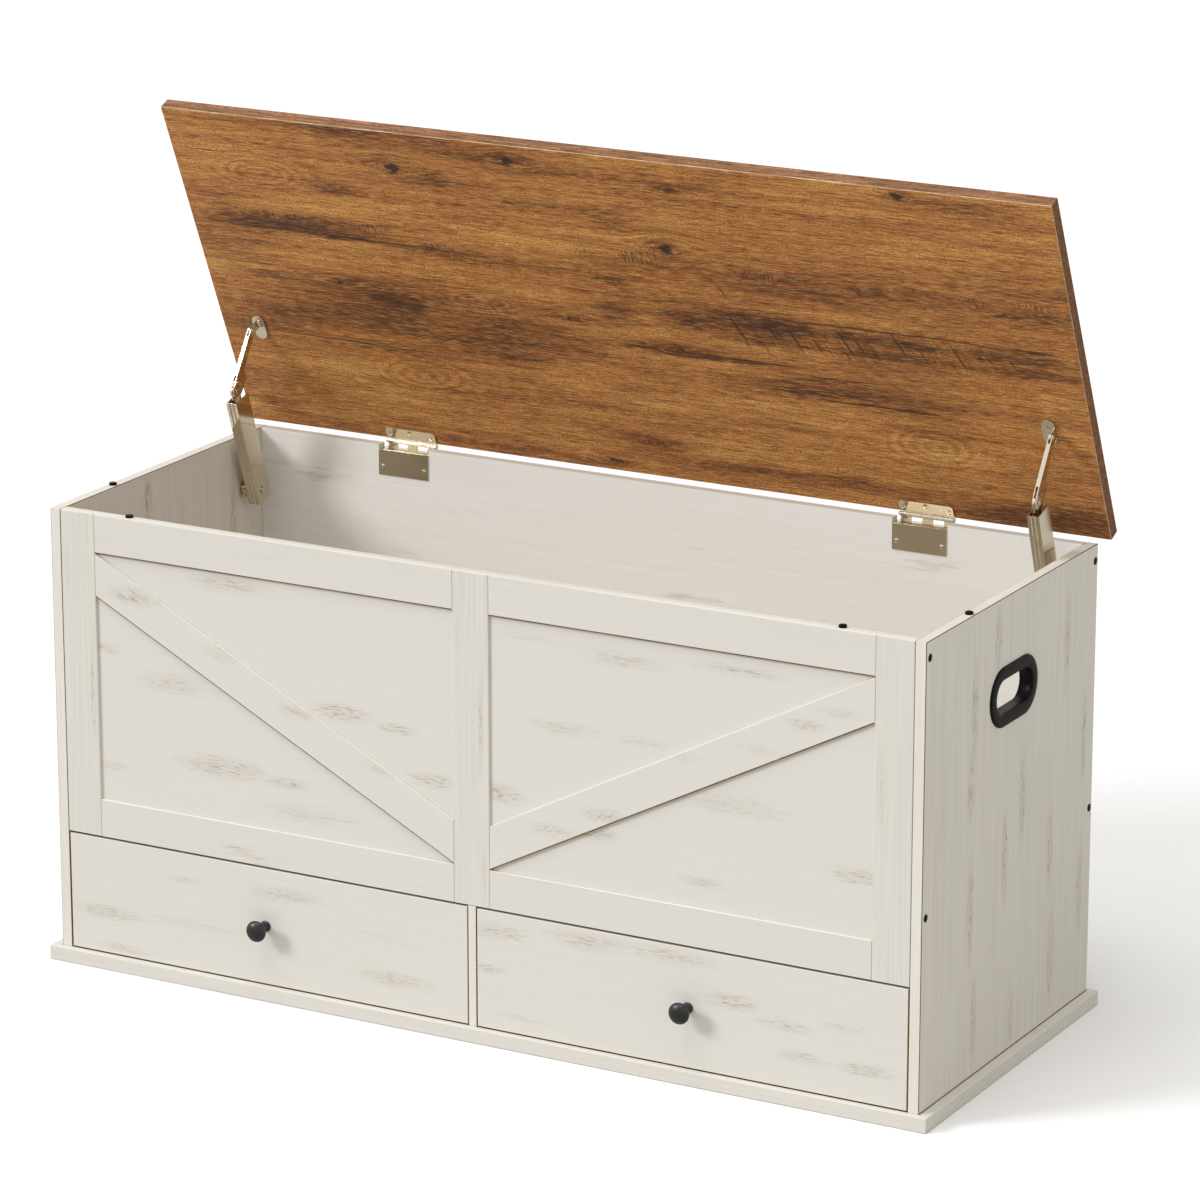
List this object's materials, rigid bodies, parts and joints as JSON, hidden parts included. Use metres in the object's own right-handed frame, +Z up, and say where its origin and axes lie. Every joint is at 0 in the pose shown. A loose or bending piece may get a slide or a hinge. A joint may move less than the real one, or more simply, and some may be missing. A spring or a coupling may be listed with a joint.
{
  "type": "mule chest",
  "caption": "Free-standing storage chest with a lift-up lid on folding stays over an open chest, and a row of pull-out drawers beneath it.",
  "frame": {"origin": "centre of the base board's underside, on the floor", "axes": "+X to the right seen from the front, along the chest's length; +Y to the back; +Z up"},
  "size_m": [1, 0.4328, 0.8563],
  "materials": {
    "white_oak": "white-washed oak-grain laminate, matt",
    "rustic_oak": "rustic brown oak-grain laminate, satin",
    "drawer_board": "pale foil-faced board, matt",
    "black_plastic": "satin black moulded plastic",
    "black_metal": "satin black paint on cast metal",
    "nickel": "bright nickel plate with a warm tone",
    "slide_steel": "zinc-plated sheet steel"
  },
  "bodies": {
    "cabinet": {"base_board": "white_oak", "left_side_panel": "white_oak", "right_side_panel": "white_oak", "front_panel": "white_oak", "middle_stile": "white_oak", "back_panel": "white_oak", "chest_floor": "white_oak", "drawer_divider": "white_oak", "left_stile": "white_oak", "left_top_rail": "white_oak", "left_bottom_rail": "white_oak", "left_brace": "white_oak", "right_stile": "white_oak", "right_top_rail": "white_oak", "right_bottom_rail": "white_oak", "right_brace": "white_oak", "left_handle_ring": "black_plastic", "left_front_bumper": "black_plastic", "left_side_bumper": "black_plastic", "right_handle_ring": "black_plastic", "right_front_bumper": "black_plastic", "right_side_bumper": "black_plastic", "left_hinge_lower_leaf": "nickel", "left_hinge_pin": "nickel", "left_stay_base_bracket": "nickel", "right_hinge_lower_leaf": "nickel", "right_hinge_pin": "nickel", "right_stay_base_bracket": "nickel", "left_drawer_inner_rail": "slide_steel", "left_drawer_outer_rail": "slide_steel", "right_drawer_inner_rail": "slide_steel", "right_drawer_outer_rail": "slide_steel"},
    "lid": {"lid": "rustic_oak", "left_hinge_upper_leaf": "nickel", "left_stay_lid_bracket": "nickel", "right_hinge_upper_leaf": "nickel", "right_stay_lid_bracket": "nickel"},
    "left_stay": {"left_stay_housing": "nickel", "left_stay_tongue": "nickel"},
    "left_arm": {"left_stay_arm": "nickel"},
    "left_drawer": {"left_drawer_front": "white_oak", "left_drawer_inner_side": "drawer_board", "left_drawer_outer_side": "drawer_board", "left_drawer_back": "drawer_board", "left_drawer_bottom": "drawer_board", "left_drawer_knob": "black_metal", "left_drawer_inner_runner": "slide_steel", "left_drawer_outer_runner": "slide_steel"},
    "right_stay": {"right_stay_housing": "nickel", "right_stay_tongue": "nickel"},
    "right_arm": {"right_stay_arm": "nickel"},
    "right_drawer": {"right_drawer_front": "white_oak", "right_drawer_inner_side": "drawer_board", "right_drawer_outer_side": "drawer_board", "right_drawer_back": "drawer_board", "right_drawer_bottom": "drawer_board", "right_drawer_knob": "black_metal", "right_drawer_inner_runner": "slide_steel", "right_drawer_outer_runner": "slide_steel"}
  },
  "joints": [
    {"name": "lid_hinge", "type": "hinge", "parent": "cabinet", "child": "lid", "pos_m": [0, 0.2014, 0.4828], "axis": [1, 0, 0], "range_deg": [0, 66]},
    {"name": "left_stay_pivot", "type": "hinge", "parent": "cabinet", "child": "left_stay", "pos_m": [-0.4605, 0.15001, 0.4243], "axis": [1, 0, 0], "range_deg": [0, 71]},
    {"name": "left_stay_knee", "type": "hinge", "parent": "left_stay", "child": "left_arm", "pos_m": [-0.4605, 0.11, 0.5405], "axis": [1, 0, 0], "range_deg": [-84.5, 0]},
    {"name": "left_drawer_slide", "type": "slide", "parent": "cabinet", "child": "left_drawer", "axis": [0, -1, 0], "range_m": [0, 0.25]},
    {"name": "right_stay_pivot", "type": "hinge", "parent": "cabinet", "child": "right_stay", "pos_m": [0.4605, 0.15001, 0.4243], "axis": [1, 0, 0], "range_deg": [0, 71]},
    {"name": "right_stay_knee", "type": "hinge", "parent": "right_stay", "child": "right_arm", "pos_m": [0.4605, 0.11, 0.5405], "axis": [1, 0, 0], "range_deg": [-84.5, 0]},
    {"name": "right_drawer_slide", "type": "slide", "parent": "cabinet", "child": "right_drawer", "axis": [0, -1, 0], "range_m": [0, 0.25]}
  ],
  "couplings": [
    {"joint": "left_stay_pivot", "follows": "lid_hinge", "ratio": 1.0705},
    {"joint": "left_stay_knee", "follows": "lid_hinge", "ratio": -1.2704},
    {"joint": "right_stay_pivot", "follows": "lid_hinge", "ratio": 1.0705},
    {"joint": "right_stay_knee", "follows": "lid_hinge", "ratio": -1.2704}
  ]
}
